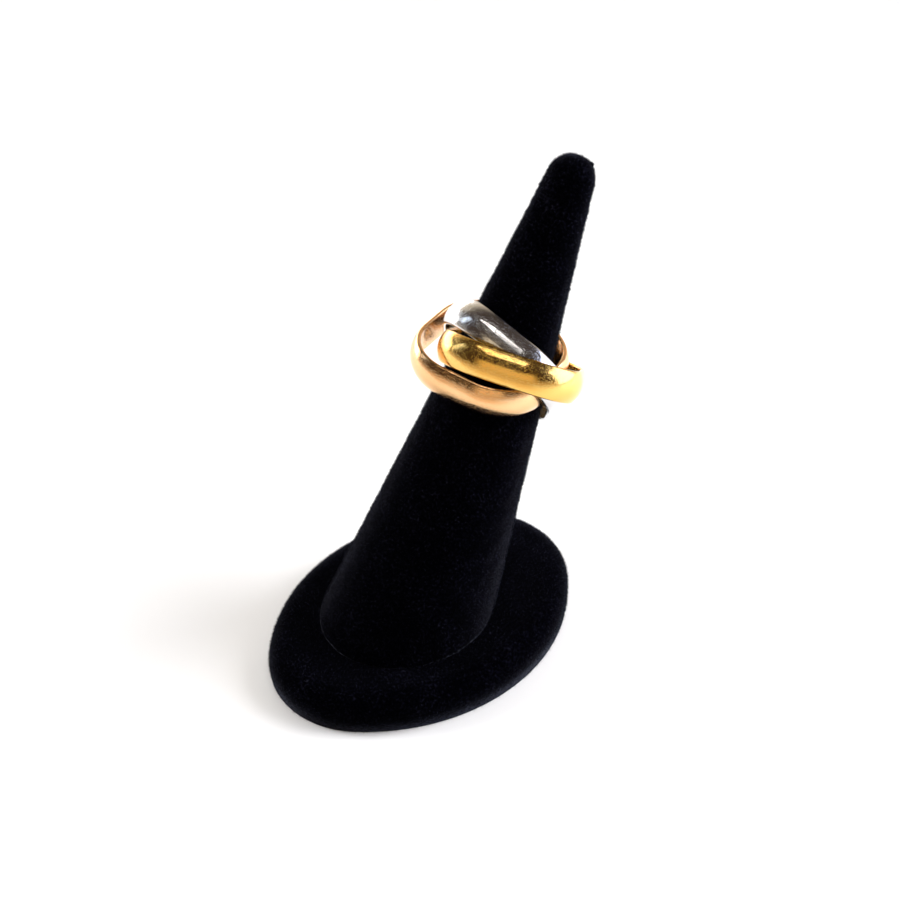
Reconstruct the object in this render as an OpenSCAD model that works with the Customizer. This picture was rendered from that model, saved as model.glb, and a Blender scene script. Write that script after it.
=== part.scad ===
// Rolling ring of three interlocked cushion-shaped bands, resting on a leaning finger stand.
// Millimetres, +Z up. The origin is the middle of the base's underside, and the finger leans
// towards +X. Each band passes once through each of the other two.

/* [Bands] */
// Half the span of each band's bore, from the middle of one side to the middle of the opposite
bore_half = 8.4; // [8.3:0.05:8.5]
// Radius of the bore at its rounded corners
bore_corner_r = 6.3; // [6:0.1:6.5]
// Width of each band, rim to rim
band_w = 4.2; // [4:0.1:4.3]
// Thickness at the crown of the dome
crown_t = 1.15; // [1:0.05:1.2]
// Thickness at the rims, where the dome ends
rim_t = 0.45; // [0.35:0.05:0.5]
// Rounding between the bore and each rim
comfort_r = 0.25; // [0.1:0.05:0.4]

/* [Finger] */
// Radius of the finger where its axis meets the base
finger_foot_r = 10.9; // [10.6:0.1:11]
// Radius of the finger where the round tip starts
finger_tip_r = 3; // [2.5:0.1:3.2]
// Length of the finger's axis up to the round tip
finger_len = 61; // [58:1:64]
// Lean of the finger from upright
finger_lean = 27; // [25:0.5:29]
// Place of the finger's foot along the base
finger_x = -2; // [-3:0.5:0]

/* [Base] */
// Half length of the oval base
base_half_len = 23.2; // [22:0.1:26]
// Half width of the oval base
base_half_wid = 17; // [16:0.1:19]
// Radius of the arcs at the oval's two ends
base_end_r = 12.5; // [12:0.1:13]
// Height of the base
base_h = 5; // [4:0.5:6]
// Rounding of the base's upper edge
base_round = 3; // [2:0.5:3.5]

/* [Hidden] */
$fn = 96;
// Small overshoot that keeps a cutter's face off the face it cuts
over = 0.01;

// Radius of the dome's arc, which runs through the crown and both rims
dome_drop = crown_t - rim_t;
dome_r = (pow(band_w / 2, 2) + pow(dome_drop, 2)) / (2 * dome_drop);

// Half the length of a band's flat sides, which is also how far its corners' centres lie out
flat_half = bore_half - bore_corner_r;

// Turn about the finger from its leaning side to the bands' right, and height of their middle
front_turn = -53;
stack_up = 36;

// Where each band's centre lies from there: up the finger, to the right and to the back, in mm.
// Then how the band is tipped, its front down and its right down, and how far it is turned in its
// own plane from having a flat side square to the right, in degrees.
UP = 0;
RIGHT = 1;
BACK = 2;
FRONT_DOWN = 3;
RIGHT_DOWN = 4;
SPIN = 5;
white_place = [0, 0.35, 0.6, -23, 22.5, -13];
yellow_place = [0.15, 1.3, -0.8, -8.5, -2.5, -6];
rose_place = [-0.15, -1.7, 0.35, 22.5, -8, -20.5];

// Half the distance between the oval's end centres, and the arc of its long sides, which
// meets the end arcs without a kink
end_x = base_half_len - base_end_r;
side_r = (pow(end_x, 2) + pow(base_half_wid, 2) - pow(base_end_r, 2))
    / (2 * (base_half_wid - base_end_r));
side_y = side_r - base_half_wid;

// Half-round section of a band, its bore on the Y axis: domed outside, eased inner corners
module band_section() {
    difference() {
        intersection() {
            translate([0, -band_w / 2]) square([crown_t, band_w]);
            translate([crown_t - dome_r, 0]) circle(r = dome_r);
        }
        bore_corner();
        mirror([0, 1]) bore_corner();
    }
}

// What the comfort rounding takes off one inner corner of the section
module bore_corner() {
    translate([0, -band_w / 2]) difference() {
        translate([-over, -over]) square(comfort_r + over);
        translate([comfort_r, comfort_r]) circle(r = comfort_r);
    }
}

// A whole band lying flat: four straight sides joined by four round corners
module cushion_band() {
    for (quarter = [0:3]) rotate([0, 0, 90 * quarter]) {
        translate([bore_half, flat_half, 0]) rotate([90, 0, 0])
            linear_extrude(height = 2 * flat_half) band_section();
        translate([flat_half, flat_half, 0])
            rotate_extrude(angle = 90) translate([bore_corner_r, 0]) band_section();
    }
}

// Moves its children into the leaning finger's axes
module on_finger() {
    translate([finger_x, 0, base_h]) rotate([0, finger_lean, 0]) children();
}

// One band, tipped and hung at its place round the finger
module band(place) {
    on_finger() rotate([0, 0, front_turn])
        translate([place[RIGHT], place[BACK], stack_up + place[UP]])
            rotate([place[FRONT_DOWN], place[RIGHT_DOWN], 0])
                rotate([0, 0, place[SPIN]]) cushion_band();
}

module white_gold_band() {
    color("gainsboro") band(white_place);
}

module yellow_gold_band() {
    color("gold") band(yellow_place);
}

module rose_gold_band() {
    color("darksalmon") band(rose_place);
}

// Tapered finger with a ball tip, cut off level where it stands on the base
module stand_finger() {
    taper = atan((finger_foot_r - finger_tip_r) / finger_len);
    ball_r = finger_tip_r / cos(taper);
    root = 2 * finger_foot_r;
    floor_cut = 4 * root;
    color("black") difference() {
        on_finger() {
            translate([0, 0, -root])
                cylinder(r1 = finger_foot_r + root * tan(taper), r2 = finger_tip_r,
                         h = finger_len + root);
            translate([0, 0, finger_len - finger_tip_r * tan(taper)]) sphere(r = ball_r);
        }
        translate([-floor_cut / 2, -floor_cut / 2, base_h - floor_cut]) cube(floor_cut);
    }
}

// Round slab with its upper edge rounded over
module rounded_disc(r) {
    rotate_extrude() {
        square([r - base_round, base_h]);
        square([r, base_h - base_round]);
        intersection() {
            translate([r - base_round, base_h - base_round]) circle(r = base_round);
            square([r, base_h]);
        }
    }
}

// Long side of the oval: the slice of a large disc between the lines to the two end centres
module long_side() {
    reach = 3;
    translate([0, -side_y, 0]) intersection() {
        rounded_disc(side_r);
        translate([0, 0, -over]) linear_extrude(height = base_h + 2 * over)
            polygon([[0, 0], [reach * end_x, reach * side_y], [-reach * end_x, reach * side_y]]);
    }
}

// Oval slab under the finger
module stand_base() {
    color("black") {
        for (side = [-1, 1]) translate([side * end_x, 0, 0]) rounded_disc(base_end_r);
        long_side();
        mirror([0, 1, 0]) long_side();
    }
}

white_gold_band();
yellow_gold_band();
rose_gold_band();
stand_finger();
stand_base();
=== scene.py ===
# Rolling ring of three linked gold bands, worn by a flocked display finger on an oval base.
# Metres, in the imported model's frame: the finger leans towards +X and the base stands on Z = 0.

import math

import bmesh
import bpy
from mathutils import Euler, Matrix, Vector, noise


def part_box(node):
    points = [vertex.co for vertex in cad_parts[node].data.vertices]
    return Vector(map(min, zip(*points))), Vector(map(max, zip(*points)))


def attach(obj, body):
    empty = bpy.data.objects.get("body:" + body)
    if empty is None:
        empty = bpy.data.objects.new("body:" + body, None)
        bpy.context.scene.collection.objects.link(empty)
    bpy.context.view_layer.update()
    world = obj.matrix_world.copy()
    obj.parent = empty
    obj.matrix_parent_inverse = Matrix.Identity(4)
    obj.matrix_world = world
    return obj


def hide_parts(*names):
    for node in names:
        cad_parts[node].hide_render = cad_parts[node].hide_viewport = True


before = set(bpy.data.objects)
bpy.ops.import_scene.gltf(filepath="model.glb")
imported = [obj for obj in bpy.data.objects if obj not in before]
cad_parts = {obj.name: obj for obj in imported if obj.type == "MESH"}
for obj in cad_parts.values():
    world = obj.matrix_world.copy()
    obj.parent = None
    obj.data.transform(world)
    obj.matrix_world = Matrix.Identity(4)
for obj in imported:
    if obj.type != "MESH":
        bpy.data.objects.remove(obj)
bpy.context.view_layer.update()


# The finger of the stand is a moulded taper with a ball tip, glued to the base and coated with
# short black flock. The coat lies a little unevenly, and it is torn into a small nib at the tip.
MM = 0.001
STAND_BODY = "stand_and_rose_band"
finger_foot_r = 10.9 * MM
finger_tip_r = 3 * MM
finger_len = 61 * MM
finger_lean = math.radians(27)
base_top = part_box("stand_base")[1].z
finger_foot = Vector((-2 * MM, 0, base_top))
on_finger = Matrix.Translation(finger_foot) @ Matrix.Rotation(finger_lean, 4, "Y")


def finished(name, bm, finish, body, slot, *nodes):
    """The modelled shape as a smooth piece that rides on its body and stands for its CAD nodes."""
    mesh = bpy.data.meshes.new(name)
    bm.to_mesh(mesh)
    bm.free()
    mesh.materials.append(finish)
    mesh.shade_smooth()
    piece = bpy.data.objects.new(name, mesh)
    bpy.context.scene.collection.objects.link(piece)
    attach(piece, body)
    if nodes:
        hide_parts(*nodes)
    return piece


def wired(material_name):
    """A new node material: the material, its node maker, its link maker and its shader."""
    material = bpy.data.materials.new(material_name)
    material.use_nodes = True
    nodes = material.node_tree.nodes
    return material, nodes.new, material.node_tree.links.new, nodes["Principled BSDF"]


def flock_finish(name, brightness):
    """Black flock: no shine, a faint blue-grey sheen at glancing angles, and a fine uneven grain with
    sparse painted glints.
    """
    patch_share = 0.25
    # Where each tone lies in the grain, how many times as bright it is, and how much bluer than grey;
    # the two brightest tones are sparse light specks, painted glints of single fibres
    grain_and_glint_tones = ((0.45, 0.2, 4), (0.68, 1, 3), (0.82, 14, 2), (0.95, 60, 1.4))
    material, node, link, shader = wired(name)
    shader.inputs["Roughness"].default_value = 1
    shader.inputs["Specular IOR Level"].default_value = 0
    shader.inputs["Sheen Weight"].default_value = 0.1
    shader.inputs["Sheen Roughness"].default_value = 0.35
    shader.inputs["Sheen Tint"].default_value = (0.72, 0.76, 1, 1)
    place = node("ShaderNodeTexCoord")
    grain = node("ShaderNodeTexNoise")
    grain.inputs["Scale"].default_value = 3200
    grain.inputs["Detail"].default_value = 3
    link(place.outputs["Object"], grain.inputs["Vector"])
    patches = node("ShaderNodeTexNoise")
    patches.inputs["Scale"].default_value = 260
    link(place.outputs["Object"], patches.inputs["Vector"])
    blend = node("ShaderNodeMath")
    blend.operation = "MULTIPLY_ADD"
    blend.inputs[1].default_value = patch_share
    link(patches.outputs["Fac"], blend.inputs[0])
    link(grain.outputs["Fac"], blend.inputs[2])
    tone = node("ShaderNodeValToRGB")
    ramp = tone.color_ramp.elements
    for position, times, bluer in grain_and_glint_tones:
        grey = times * brightness
        ramp.new(position).color = (grey, grey, grey * bluer, 1)
    # A new ramp's own black and white ends go
    ramp.remove(ramp[0])
    ramp.remove(ramp[-1])
    link(blend.outputs["Value"], tone.inputs["Fac"])
    link(tone.outputs["Color"], shader.inputs["Base Color"])
    bump = node("ShaderNodeBump")
    bump.inputs["Distance"].default_value = 0.12 * MM
    bump.inputs["Strength"].default_value = 0.8
    link(grain.outputs["Fac"], bump.inputs["Height"])
    link(bump.outputs["Normal"], shader.inputs["Normal"])
    return material


def uneven(bm, height, spread):
    """Raises and sinks the coat softly, by up to that height over lumps of that spread."""
    bm.normal_update()
    for vert in bm.verts:
        vert.co += vert.normal * height * noise.noise(vert.co / spread)


def finger_shape():
    """The taper and its ball tip, turned upright, leaned over, given its nib and cut level below."""
    rows = 190
    columns = 168
    tip_rows = 14
    weld = 0.005 * MM
    nib_way = Vector((0.84, -0.32, 0.44))
    nib_height = 0.45 * MM
    nib_spread = 0.5 * MM
    taper = math.atan((finger_foot_r - finger_tip_r) / finger_len)
    ball_z = finger_len - finger_tip_r * math.tan(taper)
    # The taper runs on into the base by this much, and the level cut takes it off
    root = finger_foot_r
    bm = bmesh.new()
    foot = bm.verts.new((finger_foot_r + root * math.tan(taper), 0, -root))
    shoulder = bm.verts.new((finger_tip_r, 0, finger_len))
    side = bm.edges.new((foot, shoulder))
    bmesh.ops.spin(bm, geom=[shoulder], cent=(0, 0, ball_z), axis=(0, -1, 0),
                   angle=math.pi / 2 - taper, steps=tip_rows)
    bmesh.ops.subdivide_edges(bm, edges=[side], cuts=rows)
    bmesh.ops.spin(bm, geom=bm.verts[:] + bm.edges[:], cent=(0, 0, 0), axis=(0, 0, 1),
                   angle=2 * math.pi, steps=columns, use_merge=True)
    bmesh.ops.remove_doubles(bm, verts=bm.verts[:], dist=weld)
    bmesh.ops.transform(bm, matrix=on_finger, verts=bm.verts[:])
    bmesh.ops.recalc_face_normals(bm, faces=bm.faces[:])
    uneven(bm, height=0.08 * MM, spread=1.6 * MM)
    nib_foot = on_finger @ Vector((0, 0, ball_z)) + nib_way * finger_tip_r
    for vert in bm.verts:
        near = 1 - (vert.co - nib_foot).length / nib_spread
        if near > 0:
            vert.co += nib_way * nib_height * near
    cut = bmesh.ops.bisect_plane(bm, geom=bm.verts[:] + bm.edges[:] + bm.faces[:],
                                 plane_co=(0, 0, base_top), plane_no=(0, 0, -1), clear_outer=True)
    rim = [e for e in cut["geom_cut"] if isinstance(e, bmesh.types.BMEdge)]
    bmesh.ops.edgeloop_fill(bm, edges=rim)
    bmesh.ops.recalc_face_normals(bm, faces=bm.faces[:])
    return bm


def nap(name, coat, seed):
    """Short fibres that stand on a coated piece: scattered and tilted at random, kept as one mesh."""
    per_mm2 = 18
    fibre_len = 0.34 * MM
    fibre_r = 0.03 * MM
    shortest = 0.6
    longest = 1.15
    tilt = math.radians(38)
    tree = bpy.data.node_groups.new(name, "GeometryNodeTree")
    tree.interface.new_socket("Geometry", in_out="INPUT", socket_type="NodeSocketGeometry")
    tree.interface.new_socket("Geometry", in_out="OUTPUT", socket_type="NodeSocketGeometry")
    node = tree.nodes.new
    link = tree.links.new
    scatter = node("GeometryNodeDistributePointsOnFaces")
    scatter.inputs["Density"].default_value = per_mm2 / MM ** 2
    scatter.inputs["Seed"].default_value = seed
    fibre = node("GeometryNodeMeshCone")
    fibre.fill_type = "NONE"
    fibre.inputs["Vertices"].default_value = 3
    fibre.inputs["Radius Top"].default_value = 0
    fibre.inputs["Radius Bottom"].default_value = fibre_r
    fibre.inputs["Depth"].default_value = fibre_len
    lean = node("FunctionNodeRandomValue")
    lean.data_type = "FLOAT_VECTOR"
    lean.inputs["Min"].default_value = (-tilt, -tilt, 0)
    lean.inputs["Max"].default_value = (tilt, tilt, 2 * math.pi)
    lean.inputs["Seed"].default_value = seed + 1
    turn = node("FunctionNodeEulerToRotation")
    link(lean.outputs["Value"], turn.inputs["Euler"])
    stand = node("FunctionNodeRotateRotation")
    stand.rotation_space = "LOCAL"
    link(scatter.outputs["Rotation"], stand.inputs["Rotation"])
    link(turn.outputs["Rotation"], stand.inputs["Rotate By"])
    # This node's number sockets are 2 and 3, its least and most, and output 1
    size = node("FunctionNodeRandomValue")
    size.data_type = "FLOAT"
    size.inputs[2].default_value = shortest
    size.inputs[3].default_value = longest
    size.inputs["Seed"].default_value = seed + 2
    place = node("GeometryNodeInstanceOnPoints")
    link(scatter.outputs["Points"], place.inputs["Points"])
    link(fibre.outputs["Mesh"], place.inputs["Instance"])
    link(stand.outputs["Rotation"], place.inputs["Rotation"])
    link(size.outputs[1], place.inputs["Scale"])
    real = node("GeometryNodeRealizeInstances")
    start = node("NodeGroupInput")
    end = node("NodeGroupOutput")
    link(start.outputs["Geometry"], scatter.inputs["Mesh"])
    link(place.outputs["Instances"], real.inputs["Geometry"])
    link(real.outputs["Geometry"], end.inputs["Geometry"])
    scattered = bpy.data.objects.new(name, coat.data)
    bpy.context.scene.collection.objects.link(scattered)
    scattered.modifiers.new("nap", "NODES").node_group = tree
    grown = scattered.evaluated_get(bpy.context.evaluated_depsgraph_get())
    bm = bmesh.new()
    bm.from_mesh(grown.to_mesh())
    grown.to_mesh_clear()
    bpy.data.objects.remove(scattered)
    return bm


black_coat = flock_finish("black_flock_coat", brightness=0.0003)
# The fibres get a brighter copy of the flock than the coat beneath them: a painted sheen where they
# crowd along the outlines.
black_fibres_painted_sheen = flock_finish("black_flock_fibres_painted_sheen", brightness=0.0008)
finger = finished("finger_velvet", finger_shape(), black_coat, STAND_BODY, "black_flock",
                  "stand_finger")
finished("finger_nap", nap("finger_nap", finger, seed=11), black_fibres_painted_sheen, STAND_BODY,
         "black_flock")


# The base is an oval slab with a rounded upper edge, flocked like the finger, and it stands on
# its flat underside. Its outline is four arcs that run into each other.
base_half_len = 23.2 * MM
base_half_wid = 17 * MM
base_end_r = 12.5 * MM
base_round = 3 * MM


def base_shape():
    """The oval drawn with four arcs, raised, rounded over and gridded finely enough to be uneven."""
    end_steps = 44
    side_steps = 40
    round_steps = 9
    grid = 0.9 * MM
    weld = 0.01 * MM
    end_x = base_half_len - base_end_r
    half_gap = base_half_wid - base_end_r
    side_r = (end_x ** 2 + base_half_wid ** 2 - base_end_r ** 2) / (2 * half_gap)
    side_y = side_r - base_half_wid
    joint = math.atan2(side_y, end_x)
    bm = bmesh.new()
    pen = bm.verts.new((end_x + base_end_r * math.cos(joint), -base_end_r * math.sin(joint), 0))
    for centre, turn, steps in (
        ((end_x, 0, 0), 2 * joint, end_steps),
        ((0, -side_y, 0), math.pi - 2 * joint, side_steps),
        ((-end_x, 0, 0), 2 * joint, end_steps),
        ((0, side_y, 0), math.pi - 2 * joint, side_steps),
    ):
        drawn = bmesh.ops.spin(bm, geom=[pen], cent=centre, axis=(0, 0, 1), angle=turn,
                               steps=steps)
        pen = next(v for v in drawn["geom_last"] if isinstance(v, bmesh.types.BMVert))
    bmesh.ops.remove_doubles(bm, verts=bm.verts[:], dist=weld)
    under = bmesh.ops.contextual_create(bm, geom=bm.edges[:])["faces"]
    raised = bmesh.ops.extrude_face_region(bm, geom=under, use_keep_orig=True)["geom"]
    lifted = [v for v in raised if isinstance(v, bmesh.types.BMVert)]
    bmesh.ops.translate(bm, vec=(0, 0, base_top), verts=lifted)
    upper = [e for e in bm.edges if all(v in lifted for v in e.verts)]
    bmesh.ops.bevel(bm, geom=upper, offset=base_round, offset_type="OFFSET", affect="EDGES",
                    segments=round_steps, profile=0.5, material=-1)
    for axis, reach in ((Vector((1, 0, 0)), base_half_len), (Vector((0, 1, 0)), base_half_wid)):
        cuts = int(2 * reach / grid)
        for cut in range(1, cuts):
            bmesh.ops.bisect_plane(bm, geom=bm.verts[:] + bm.edges[:] + bm.faces[:],
                                   plane_co=axis * reach * (2 * cut / cuts - 1), plane_no=axis)
    bmesh.ops.recalc_face_normals(bm, faces=bm.faces[:])
    return bm


base = finished("base_velvet", base_shape(), black_coat, STAND_BODY, "black_flock", "stand_base")
finished("base_nap", nap("base_nap", base, seed=29), black_fibres_painted_sheen, STAND_BODY, "black_flock")


# The three bands are half-round rings of 18-carat gold, bent to a square with round corners and
# polished, each passed through the other two before it was closed. This is the white gold one,
# on top in front.
bore_half = 8.4 * MM
bore_corner_r = 6.3 * MM
flat_half = bore_half - bore_corner_r
band_w = 4.2 * MM
crown_t = 1.15 * MM
rim_t = 0.45 * MM
comfort_r = 0.25 * MM
front_turn = math.radians(-53)
stack_up = 36 * MM


def band_place(up, right, back, front_down, right_down, spin):
    """Where a band hangs on the finger: up it, right and back in mm, then its tips and its spin."""
    hung = Matrix.Rotation(front_turn, 4, "Z")
    moved = Matrix.Translation(Vector((right * MM, back * MM, stack_up + up * MM)))
    tipped = Euler((math.radians(front_down), math.radians(right_down), 0)).to_matrix().to_4x4()
    return on_finger @ hung @ moved @ tipped @ Matrix.Rotation(math.radians(spin), 4, "Z")


def band_shape(place):
    """A half-round section swept along four straight sides and four round corners, edges eased."""
    side_steps = 14
    corner_steps = 60
    dome_steps = 22
    ease_steps = 6
    weld = 0.01 * MM
    drop = crown_t - rim_t
    dome_r = ((band_w / 2) ** 2 + drop ** 2) / (2 * drop)
    dome_half = math.asin(band_w / 2 / dome_r)
    bm = bmesh.new()
    bore = []
    rims = []
    for side in (-1, 1):
        inner = bm.verts.new((bore_half, -flat_half, side * (band_w / 2 - comfort_r)))
        eased = bmesh.ops.spin(bm, geom=[inner], axis=(0, side, 0), angle=math.pi / 2,
                               cent=inner.co + Vector((comfort_r, 0, 0)), steps=ease_steps)
        rim = bm.verts.new((bore_half + rim_t, -flat_half, side * band_w / 2))
        bm.edges.new((eased["geom_last"][0], rim))
        bore.append(inner)
        rims.append(rim)
    bm.edges.new(bore)
    bmesh.ops.spin(bm, geom=[rims[0]], cent=(bore_half + crown_t - dome_r, -flat_half, 0),
                   axis=(0, -1, 0), angle=2 * dome_half, steps=dome_steps)
    bmesh.ops.remove_doubles(bm, verts=bm.verts[:], dist=weld)
    section = bm.verts[:] + bm.edges[:]
    for quarter in range(4):
        turned = Matrix.Rotation(quarter * math.pi / 2, 3, "Z")
        side = bmesh.ops.spin(bm, geom=section, cent=(0, 0, 0), axis=(0, 0, 1), angle=0,
                              dvec=turned @ Vector((0, 2 * flat_half / side_steps, 0)),
                              steps=side_steps)
        corner = bmesh.ops.spin(bm, geom=side["geom_last"], axis=(0, 0, 1), angle=math.pi / 2,
                                cent=turned @ Vector((flat_half, flat_half, 0)),
                                steps=corner_steps)
        section = corner["geom_last"]
    bmesh.ops.remove_doubles(bm, verts=bm.verts[:], dist=weld)
    bmesh.ops.transform(bm, matrix=place, verts=bm.verts[:])
    bmesh.ops.recalc_face_normals(bm, faces=bm.faces[:])
    return bm


def worn_polish(name, colour, deep, place, roughness):
    """Polished gold that has been worn: hairline scratches, a fine haze and slight colour drift."""
    haze_times = 2.2
    scratch_turns = (17, 71, 128)
    scratch_scale = (300, 9000, 300)
    scratch_depth = 0.2
    material, node, link, shader = wired(name)
    shader.inputs["Metallic"].default_value = 1
    inverse = place.inverted()
    spot = node("ShaderNodeTexCoord")
    square = node("ShaderNodeMapping")
    square.inputs["Location"].default_value = inverse.translation
    square.inputs["Rotation"].default_value = inverse.to_euler()
    link(spot.outputs["Object"], square.inputs["Vector"])
    drift = node("ShaderNodeTexNoise")
    drift.inputs["Scale"].default_value = 180
    drift.inputs["Detail"].default_value = 2
    link(square.outputs["Vector"], drift.inputs["Vector"])
    tone = node("ShaderNodeValToRGB")
    tone.color_ramp.elements[0].position = 0.35
    tone.color_ramp.elements[0].color = (*deep, 1)
    tone.color_ramp.elements[1].position = 0.65
    tone.color_ramp.elements[1].color = (*colour, 1)
    link(drift.outputs["Fac"], tone.inputs["Fac"])
    link(tone.outputs["Color"], shader.inputs["Base Color"])
    haze = node("ShaderNodeTexNoise")
    haze.inputs["Scale"].default_value = 6500
    haze.inputs["Detail"].default_value = 4
    link(square.outputs["Vector"], haze.inputs["Vector"])
    hazed = node("ShaderNodeMapRange")
    hazed.inputs["From Min"].default_value = 0.35
    hazed.inputs["From Max"].default_value = 0.7
    hazed.inputs["To Min"].default_value = roughness
    hazed.inputs["To Max"].default_value = roughness * haze_times
    link(haze.outputs["Fac"], hazed.inputs["Value"])
    link(hazed.outputs["Result"], shader.inputs["Roughness"])
    pitted = node("ShaderNodeMapRange")
    pitted.inputs["From Min"].default_value = 0.54
    pitted.inputs["From Max"].default_value = 0.72
    link(haze.outputs["Fac"], pitted.inputs["Value"])
    height = pitted.outputs["Result"]
    for turn in scratch_turns:
        comb = node("ShaderNodeMapping")
        comb.inputs["Rotation"].default_value = (math.radians(turn), math.radians(2 * turn), 0)
        comb.inputs["Scale"].default_value = scratch_scale
        link(square.outputs["Vector"], comb.inputs["Vector"])
        hairline = node("ShaderNodeTexNoise")
        hairline.inputs["Scale"].default_value = 1
        hairline.inputs["Detail"].default_value = 1
        link(comb.outputs["Vector"], hairline.inputs["Vector"])
        cut = node("ShaderNodeMapRange")
        cut.inputs["From Min"].default_value = 0.6
        cut.inputs["From Max"].default_value = 0.68
        link(hairline.outputs["Fac"], cut.inputs["Value"])
        sunk = node("ShaderNodeMath")
        sunk.operation = "MULTIPLY_ADD"
        sunk.inputs[1].default_value = -scratch_depth
        link(cut.outputs["Result"], sunk.inputs[0])
        link(height, sunk.inputs[2])
        height = sunk.outputs["Value"]
    bump = node("ShaderNodeBump")
    bump.inputs["Distance"].default_value = 0.02 * MM
    bump.inputs["Strength"].default_value = 0.6
    link(height, bump.inputs["Height"])
    link(bump.outputs["Normal"], shader.inputs["Normal"])
    return material


white_place = band_place(up=0, right=0.35, back=0.6, front_down=-23, right_down=22.5, spin=-13)
white_gold = worn_polish("white_gold_polish", (0.80, 0.79, 0.78), (0.74, 0.73, 0.73),
                         white_place, roughness=0.06)
finished("white_band_polished", band_shape(white_place), white_gold, "white_band", "white_gold",
         "white_gold_band")


# The yellow gold band has the white one's size and section, and is passed through both others.
# It lies in the middle in front and outermost at the right.
yellow_place = band_place(up=0.15, right=1.3, back=-0.8, front_down=-8.5, right_down=-2.5,
                          spin=-6)
yellow_gold = worn_polish("yellow_gold_polish", (0.93, 0.61, 0.19), (0.89, 0.54, 0.14),
                          yellow_place, roughness=0.07)
finished("yellow_band_polished", band_shape(yellow_place), yellow_gold, "yellow_band",
         "yellow_gold", "yellow_gold_band")


# The rose gold band has the same size and section too, and is passed through both others. It
# lies lowest in front and outermost at the left, and it stays still on the finger.
rose_place = band_place(up=-0.15, right=-1.7, back=0.35, front_down=22.5, right_down=-8,
                        spin=-20.5)
rose_gold = worn_polish("rose_gold_polish", (0.94, 0.60, 0.31), (0.9, 0.53, 0.25),
                        rose_place, roughness=0.08)
finished("rose_band_polished", band_shape(rose_place), rose_gold, STAND_BODY, "rose_gold",
         "rose_gold_band")


# The studio: a white table painted a darker warm tan along its near side as painted shade, under soft
# lamps and inside a light tent that is open towards the camera. The polished bands mirror the table,
# its painted shade and the tent.
# The camera's aim, heading and tilt are from the stand's outlines, its angles in radians.
aim = Vector((11.785, 7.116, 20.005)) * MM
heading = 0.81848
look_down = 0.65387
distance = 201 * MM
focal_px = 1465.2
frame_px = 900
ahead = Vector((math.cos(heading), math.sin(heading), 0))
rightward = Vector((math.sin(heading), -math.cos(heading), 0))

floor_half = 0.4
floor_mesh = bpy.data.meshes.new("floor")
floor_bm = bmesh.new()
bmesh.ops.create_grid(floor_bm, x_segments=1, y_segments=1, size=floor_half)
floor_bm.to_mesh(floor_mesh)
floor_bm.free()
floor = bpy.data.objects.new("floor", floor_mesh)
bpy.context.scene.collection.objects.link(floor)
paper, paper_node, paper_link, paper_shader = wired("white_table")
paper_shader.inputs["Roughness"].default_value = 0.9
paper_shader.inputs["Specular IOR Level"].default_value = 0.1
table_place = paper_node("ShaderNodeTexCoord")


def painted_shade_edge(direction, bare, fully_shaded):
    """A soft edge of the painted shade: from the unshaded table to full shade, in mm from the origin
    that way.
    """
    reach = paper_node("ShaderNodeVectorMath")
    reach.operation = "DOT_PRODUCT"
    reach.inputs[1].default_value = direction / MM
    paper_link(table_place.outputs["Object"], reach.inputs[0])
    edge = paper_node("ShaderNodeMapRange")
    edge.interpolation_type = "SMOOTHSTEP"
    edge.inputs["From Min"].default_value = bare
    edge.inputs["From Max"].default_value = fully_shaded
    paper_link(reach.outputs["Value"], edge.inputs["Value"])
    return edge.outputs["Result"]


# Where a Mix node has its share, its two colours and its result
mix_share = 0
mix_under = 6
mix_over = 7
mix_result = 2
# Painted shade: the table's near side turns a darker warm tan, standing for shade from the camera's
# side, so that the bands' lower halves mirror it.
painted_shade = paper_node("ShaderNodeMath")
painted_shade.operation = "MULTIPLY"
paper_link(painted_shade_edge(-ahead, bare=50, fully_shaded=85), painted_shade.inputs[0])
paper_link(painted_shade_edge(-rightward, bare=-70, fully_shaded=10), painted_shade.inputs[1])
floor_shading = paper_node("ShaderNodeMix")
floor_shading.data_type = "RGBA"
floor_shading.inputs[mix_under].default_value = (0.86, 0.855, 0.85, 1)
floor_shading.inputs[mix_over].default_value = (0.78, 0.64, 0.48, 1)
paper_link(painted_shade.outputs["Value"], floor_shading.inputs[mix_share])
paper_link(floor_shading.outputs[mix_result], paper_shader.inputs["Base Color"])
floor_mesh.materials.append(paper)


def soft_lamp(name, right, forward, up, span, watts):
    """A square lamp, placed from the ring in metres as the camera sees it, and aimed at it."""
    lamp = bpy.data.lights.new(name, "AREA")
    lamp.size = span
    lamp.energy = watts
    holder = bpy.data.objects.new(name, lamp)
    bpy.context.scene.collection.objects.link(holder)
    offset = rightward * right + ahead * forward + Vector((0, 0, up))
    holder.location = aim + offset
    holder.rotation_euler = (-offset).to_track_quat("-Z", "Y").to_euler()
    holder.visible_camera = False
    holder.visible_glossy = False


soft_lamp("table_lamp", right=0.05, forward=0.2, up=0.7, span=0.7, watts=1.5)
soft_lamp("left_lamp", right=-0.28, forward=0.06, up=0.16, span=0.15, watts=0.75)
soft_lamp("right_lamp", right=0.22, forward=0.02, up=0.15, span=0.15, watts=0.85)

world = bpy.data.worlds.new("light_tent")
world.use_nodes = True
bpy.context.scene.world = world
tent_node = world.node_tree.nodes.new
tent_link = world.node_tree.links.new
tent_place = tent_node("ShaderNodeTexCoord")


def tent_sum(operation, first, second=None):
    """One step of arithmetic on the tent's directions."""
    step = tent_node("ShaderNodeMath")
    step.operation = operation
    tent_link(first, step.inputs[0])
    if second:
        tent_link(second, step.inputs[1])
    return step.outputs["Value"]


def tent_along(direction):
    """How far a direction of the tent points along another."""
    along = tent_node("ShaderNodeVectorMath")
    along.operation = "DOT_PRODUCT"
    along.inputs[1].default_value = direction
    tent_link(tent_place.outputs["Generated"], along.inputs[0])
    return along.outputs["Value"]


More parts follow.
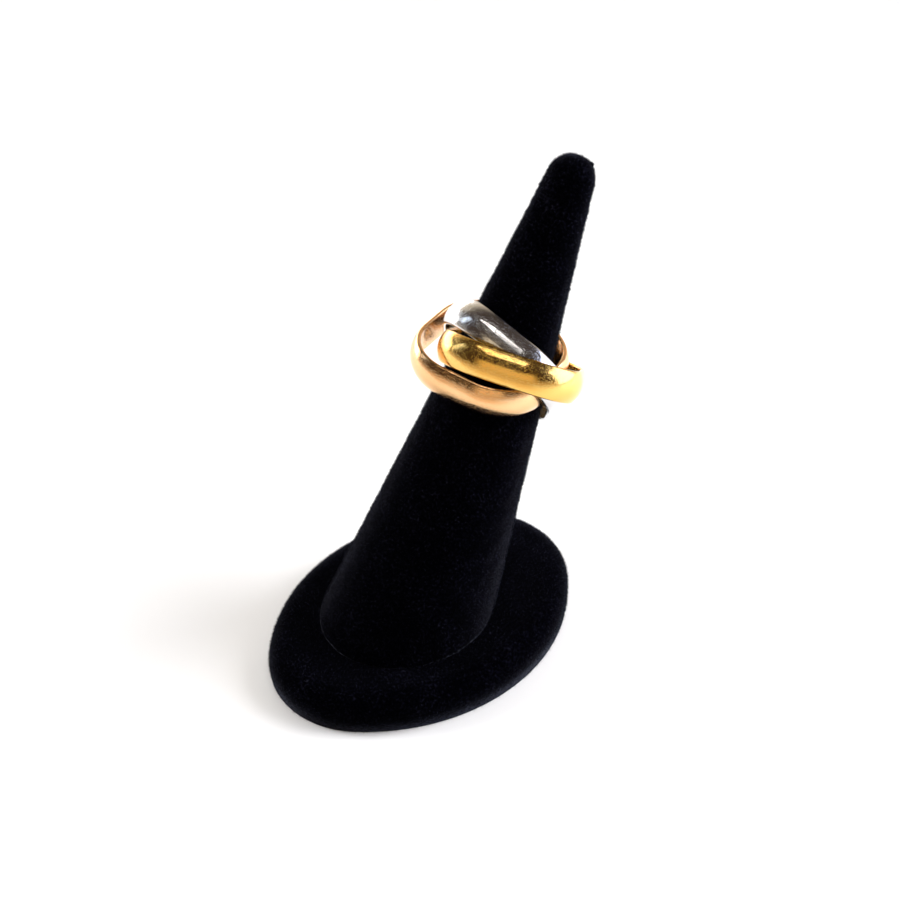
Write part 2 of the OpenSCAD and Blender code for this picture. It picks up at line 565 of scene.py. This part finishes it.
def tent_edge(angle, outside, inside):
    """A soft edge of a panel: 0 at the outside angle, 1 at the inside one, both in degrees."""
    edge = tent_node("ShaderNodeMapRange")
    edge.interpolation_type = "SMOOTHSTEP"
    edge.inputs["From Min"].default_value = math.radians(outside)
    edge.inputs["From Max"].default_value = math.radians(inside)
    tent_link(angle, edge.inputs["Value"])
    return edge.outputs["Result"]


def tent_cover(under, tone, *amounts):
    """Paints one tone over the rest, as much as all the amounts agree on."""
    amount = amounts[0]
    for other in amounts[1:]:
        amount = tent_sum("MULTIPLY", amount, other)
    coat = tent_node("ShaderNodeMix")
    coat.data_type = "RGBA"
    tent_link(amount, coat.inputs[mix_share])
    tent_link(under, coat.inputs[mix_under])
    coat.inputs[mix_over].default_value = (*tone, 1)
    return coat.outputs[mix_result]


def tent_panel(under, tone, middle, width, low, high, soft=4, soft_top=4):
    """A panel of the tent's wall: degrees round from the camera's side to the right, and up."""
    turn = math.radians(middle)
    outward = rightward * math.sin(turn) - ahead * math.cos(turn)
    across = rightward * math.cos(turn) + ahead * math.sin(turn)
    turned = tent_sum("ABSOLUTE", tent_sum("ARCTAN2", tent_along(across), tent_along(outward)))
    return tent_cover(under, tone, tent_edge(turned, width / 2 + soft, width / 2 - soft),
                      tent_edge(tent_up, low - soft, low + soft),
                      tent_edge(tent_up, high + soft_top, high - soft_top))


dark_opening = (0.06, 0.045, 0.037)
low_wall = (0.8, 0.68, 0.54)
far_wall = (0.78, 0.66, 0.5)
near_glow = (0.88, 0.7, 0.46)
far_left_window = (5, 5, 5)
slim_left_window = (1.3, 1.5, 1.8)
right_window = (3, 3.3, 4.2)
overhead_bar = (2.6, 2.5, 2.4)
zenith = tent_along(Vector((0, 0, 1)))
tent_up = tent_sum("ARCSINE", zenith)
opening = tent_node("ShaderNodeRGB")
opening.outputs[0].default_value = (*dark_opening, 1)
tent = opening.outputs[0]
tent = tent_panel(tent, low_wall, middle=0, width=400, low=-90, high=3, soft_top=11)
tent = tent_panel(tent, far_wall, middle=180, width=90, low=-90, high=40, soft=10, soft_top=18)
tent = tent_panel(tent, near_glow, middle=-10, width=54, low=2, high=32, soft=12, soft_top=5)
tent = tent_panel(tent, far_left_window, middle=-144, width=62, low=-90, high=14)
tent = tent_panel(tent, slim_left_window, middle=-102, width=14, low=17, high=46, soft=3)
tent = tent_panel(tent, right_window, middle=91, width=54, low=-90, high=36)


def bar_side(turn):
    """How far a direction lies towards the camera, in angle, from a line turned over the ring."""
    across = -rightward * math.sin(math.radians(turn)) - ahead * math.cos(math.radians(turn))
    return tent_sum("ARCTAN2", tent_along(across), zenith)


# The bar's four edges: how far each is turned, and its outside and inside angles
bar_edges = ((33, 7, 9), (58, 20, 17.5), (-50, 21.5, 18.5), (0, -3.5, -1))
inside_bar = [tent_edge(bar_side(turn), outside, inside) for turn, outside, inside in bar_edges]
tent = tent_cover(tent, overhead_bar, *inside_bar)
tent_link(tent, world.node_tree.nodes["Background"].inputs["Color"])

sensor_mm = 36
sight = ahead * math.cos(look_down) - Vector((0, 0, math.sin(look_down)))
camera_data = bpy.data.cameras.new("camera")
camera_data.sensor_width = sensor_mm
camera_data.lens = sensor_mm * focal_px / frame_px
camera_data.clip_start = 0.005
camera_data.clip_end = 10
camera = bpy.data.objects.new("camera", camera_data)
bpy.context.scene.collection.objects.link(camera)
camera.location = aim - sight * distance
camera.rotation_euler = sight.to_track_quat("-Z", "Y").to_euler()
bpy.context.scene.camera = camera
bpy.context.scene.view_settings.view_transform = "Standard"
